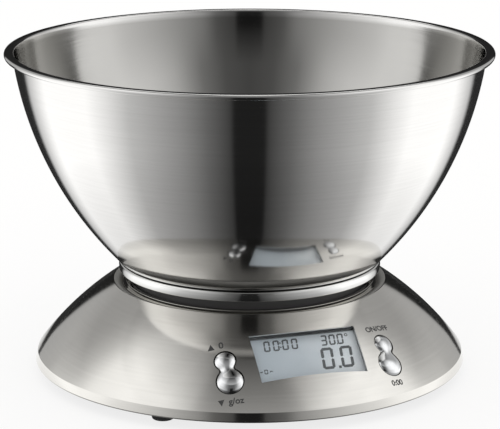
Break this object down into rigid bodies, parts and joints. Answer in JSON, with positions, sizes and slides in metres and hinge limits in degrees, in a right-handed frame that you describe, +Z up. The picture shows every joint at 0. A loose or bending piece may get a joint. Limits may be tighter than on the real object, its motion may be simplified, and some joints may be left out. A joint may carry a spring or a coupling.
{
  "type": "kitchen scale",
  "caption": "Round digital kitchen scale with a lift-off steel bowl on a sprung platform, a domed steel base with a recessed display, chrome rocker buttons and a battery door.",
  "frame": {"origin": "on the bowl's axis, at the level of the surface that the feet stand on", "axes": "+Z up along the bowl's axis, -Y towards the display, +X to the right as one reads the display"},
  "size_m": [0.215, 0.215, 0.1453],
  "materials": {
    "bowl_steel": "polished with fine turning lines",
    "tray_steel": "polished",
    "cover_steel": "satin, brushed round",
    "black_plastic": "fine texture",
    "foot_rubber": "matte",
    "lens_acrylic": "clear",
    "lcd_glass": "pale blue-grey display face",
    "contact_rubber": "matte",
    "board_laminate": "green solder mask",
    "chip_epoxy": "black epoxy",
    "cell_aluminium": "milled",
    "gauge_silicone": "white sealant",
    "screw_steel": "zinc plated",
    "rocker_chrome": "mirror",
    "battery_sleeve": "printed sleeve",
    "contact_nickel": "nickel plated spring steel",
    "buzzer_brass": "bright",
    "cable_vinyl": "grey vinyl sheath",
    "lead_vinyl": "red and black vinyl"
  },
  "bodies": {
    "base": {"load_cell": "cell_aluminium", "strain_gauges": "gauge_silicone", "load_cell_screws": "screw_steel", "base_cover": "cover_steel", "upper_housing": "black_plastic", "chassis": "black_plastic", "cover_screws": "screw_steel", "feet": "foot_rubber", "display_bezel": "black_plastic", "display_lens": "lens_acrylic", "lcd_panel": "lcd_glass", "zebra_strip": "contact_rubber", "main_board": "board_laminate", "board_screws": "screw_steel", "controller_chip": "chip_epoxy", "thermistor": "chip_epoxy", "batteries": "battery_sleeve", "battery_terminals": "contact_nickel", "battery_bridge": "contact_nickel", "buzzer": "buzzer_brass", "load_cell_cable": "cable_vinyl", "battery_lead": "lead_vinyl", "buzzer_lead": "lead_vinyl", "left_rocker_pin": "screw_steel", "left_switch_board": "board_laminate", "left_tact_switches": "chip_epoxy", "left_switch_screws": "screw_steel", "left_switch_lead": "lead_vinyl", "right_rocker_pin": "screw_steel", "right_switch_board": "board_laminate", "right_tact_switches": "chip_epoxy", "right_switch_screws": "screw_steel", "right_switch_lead": "lead_vinyl"},
    "platform": {"platform_tray": "tray_steel", "platform_carrier": "black_plastic", "tray_screws": "screw_steel", "platform_screws": "screw_steel"},
    "bowl": {"bowl": "bowl_steel"},
    "left_rocker": {"left_rocker": "rocker_chrome"},
    "right_rocker": {"right_rocker": "rocker_chrome"},
    "battery_door": {"battery_door": "black_plastic"}
  },
  "joints": [
    {"name": "platform_press", "type": "slide", "parent": "base", "child": "platform", "axis": [0, 0, 1], "range_m": [-0.0008, 0], "stiffness_N_per_m": 20000, "springref_m": 0.0004, "deforming": ["load_cell"]},
    {"name": "bowl_lift", "type": "slide", "parent": "platform", "child": "bowl", "axis": [0, 0, 1], "range_m": [0, 0.15]},
    {"name": "right_rocker_tip", "type": "hinge", "parent": "base", "child": "right_rocker", "pos_m": [0.03497, -0.07255, 0.02159], "axis": [0.9516, 0.2215, -0.2129], "range_deg": [-4, 4], "stiffness_Nm_per_rad": 0.05},
    {"name": "left_rocker_tip", "type": "hinge", "parent": "base", "child": "left_rocker", "pos_m": [-0.03497, -0.07255, 0.02159], "axis": [0.9516, -0.2215, 0.2129], "range_deg": [-4, 4], "stiffness_Nm_per_rad": 0.05},
    {"name": "battery_door_hinge", "type": "hinge", "parent": "base", "child": "battery_door", "pos_m": [0, 0.0502, 0.0071], "axis": [1, 0, 0], "range_deg": [0, 90]}
  ]
}
